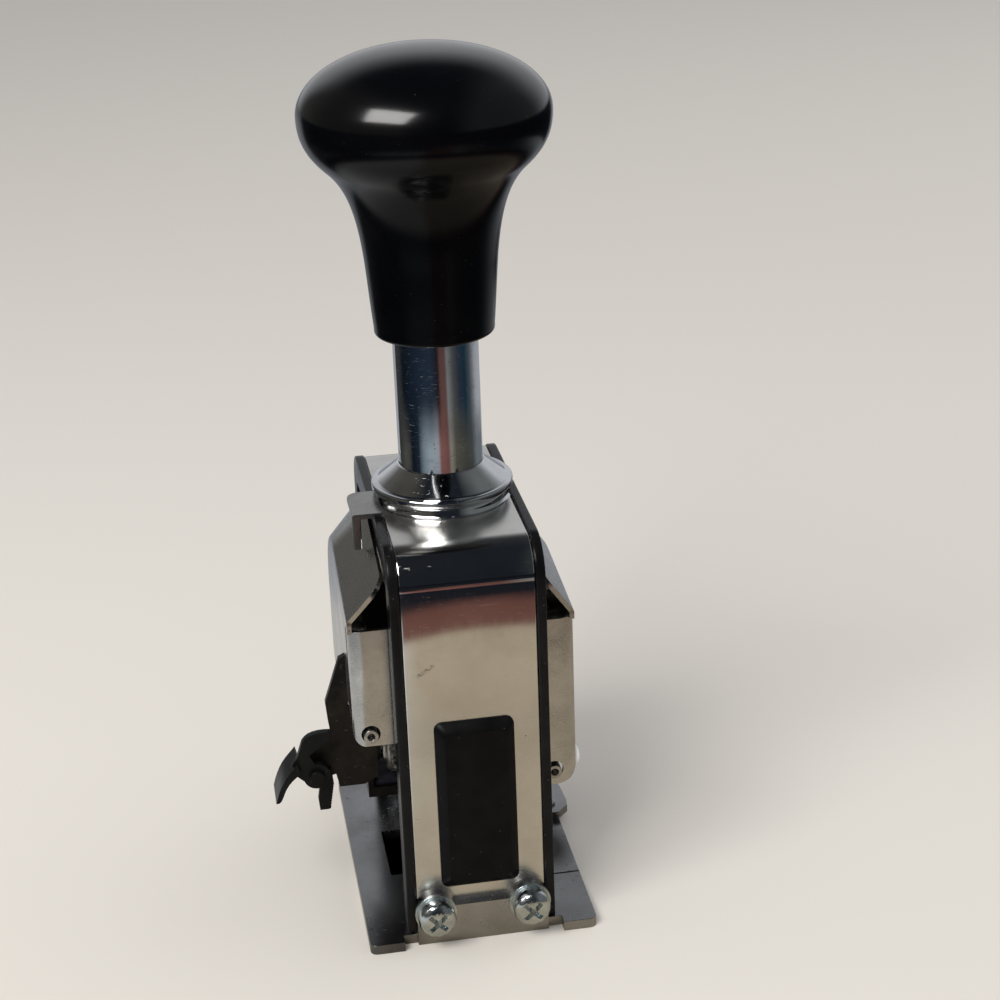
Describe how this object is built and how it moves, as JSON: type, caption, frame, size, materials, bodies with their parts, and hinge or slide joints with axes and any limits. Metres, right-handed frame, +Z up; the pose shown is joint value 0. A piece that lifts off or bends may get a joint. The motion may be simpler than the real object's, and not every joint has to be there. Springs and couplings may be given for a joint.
{
  "type": "numbering machine",
  "caption": "Self-inking hand numbering stamp: a sprung plunger with a mushroom knob slides in a bent strap frame and carries a number head.",
  "frame": {"origin": "middle of the print window, on the underside plane of the base plate", "axes": "+X to the right seen from the front, -Y towards the front with the name plate, +Z up along the plunger"},
  "size_m": [0.0615, 0.07, 0.1652],
  "materials": {
    "bright_chrome": "mirror-bright, lightly scratched",
    "nickel_sheet": "satin nickel, lightly pitted",
    "nickel_plate": "worn bright nickel",
    "black_enamel": "gloss black enamel",
    "black_knob": "gloss black",
    "plate_plastic": "satin black",
    "zinc": "bright zinc",
    "blackened_steel": "satin black oxide",
    "bare_steel": "plain turned steel",
    "spring_steel": "drawn wire",
    "white_nylon": "white",
    "ink_felt": "ink-soaked felt",
    "wheel_metal": "ink-stained steel"
  },
  "bodies": {
    "stand": {"base_plate": "nickel_plate", "frame_strap": "bright_chrome", "left_rail": "black_enamel", "right_rail": "black_enamel", "name_plate": "plate_plastic", "guide_bush": "bright_chrome", "bush_nut": "bare_steel", "frame_screws": "zinc", "spring_washers": "zinc", "flat_washers": "zinc", "frame_nuts": "zinc", "hook_clip": "nickel_sheet", "spring_anchor_pin": "bare_steel", "spring_seat": "bare_steel", "side_gauge": "nickel_plate", "gauge_rivets": "nickel_plate"},
    "head": {"knob": "black_knob", "plunger_tube": "bright_chrome", "tube_plug": "bare_steel", "return_spring": "spring_steel", "head_yoke": "blackened_steel", "foot_rivets": "bare_steel", "left_cover": "nickel_sheet", "right_cover": "nickel_sheet", "cover_spacers": "nickel_sheet", "lever_bracket": "blackened_steel", "bracket_rivets": "bare_steel", "left_stop_pin": "bare_steel", "right_ear": "blackened_steel", "right_stop_pin": "bare_steel", "nylon_bumper": "white_nylon", "lever_rivet": "blackened_steel", "serrated_tongue": "blackened_steel", "wheel_axle": "bare_steel", "axle_clips": "bare_steel", "detent_bar": "bare_steel", "detent_springs": "bare_steel"},
    "lever": {"thumb_lever": "blackened_steel"},
    "wheel_1": {"number_wheel_1": "wheel_metal"},
    "wheel_2": {"number_wheel_2": "wheel_metal"},
    "wheel_3": {"number_wheel_3": "wheel_metal"},
    "wheel_4": {"number_wheel_4": "wheel_metal"},
    "wheel_5": {"number_wheel_5": "wheel_metal"},
    "wheel_6": {"number_wheel_6": "wheel_metal"},
    "feed": {"feed_rocker": "bare_steel", "feed_pawl_comb": "blackened_steel", "pawl_pin": "bare_steel"},
    "inker": {"ink_tray": "blackened_steel", "ink_pad": "ink_felt"}
  },
  "joints": [
    {"name": "plunger_slide", "type": "slide", "parent": "stand", "child": "head", "axis": [0, 0, -1], "range_m": [0, 0.022], "stiffness_N_per_m": 1400, "springref_m": -0.012, "deforming": ["return_spring"]},
    {"name": "thumb_lever_pivot", "type": "hinge", "parent": "head", "child": "lever", "pos_m": [-0.0288, -0.0157, 0.031], "axis": [0, 1, 0], "range_deg": [0, 30]},
    {"name": "feed_swing", "type": "hinge", "parent": "head", "child": "feed", "pos_m": [0, 0, 0.03], "axis": [1, 0, 0], "range_deg": [0, 36.5]},
    {"name": "ink_swing", "type": "hinge", "parent": "head", "child": "inker", "pos_m": [0, 0, 0.03], "axis": [1, 0, 0], "range_deg": [0, 95.5]},
    {"name": "number_wheel_1_spin", "type": "hinge", "parent": "head", "child": "wheel_1", "pos_m": [0, 0, 0.03], "axis": [1, 0, 0], "continuous": true},
    {"name": "number_wheel_2_spin", "type": "hinge", "parent": "head", "child": "wheel_2", "pos_m": [0, 0, 0.03], "axis": [1, 0, 0], "continuous": true},
    {"name": "number_wheel_3_spin", "type": "hinge", "parent": "head", "child": "wheel_3", "pos_m": [0, 0, 0.03], "axis": [1, 0, 0], "continuous": true},
    {"name": "number_wheel_4_spin", "type": "hinge", "parent": "head", "child": "wheel_4", "pos_m": [0, 0, 0.03], "axis": [1, 0, 0], "continuous": true},
    {"name": "number_wheel_5_spin", "type": "hinge", "parent": "head", "child": "wheel_5", "pos_m": [0, 0, 0.03], "axis": [1, 0, 0], "continuous": true},
    {"name": "number_wheel_6_spin", "type": "hinge", "parent": "head", "child": "wheel_6", "pos_m": [0, 0, 0.03], "axis": [1, 0, 0], "continuous": true}
  ],
  "couplings": [
    {"joint": "feed_swing", "follows": "plunger_slide", "rad_per_m": 28.56},
    {"joint": "ink_swing", "follows": "plunger_slide", "rad_per_m": 75.367}
  ]
}
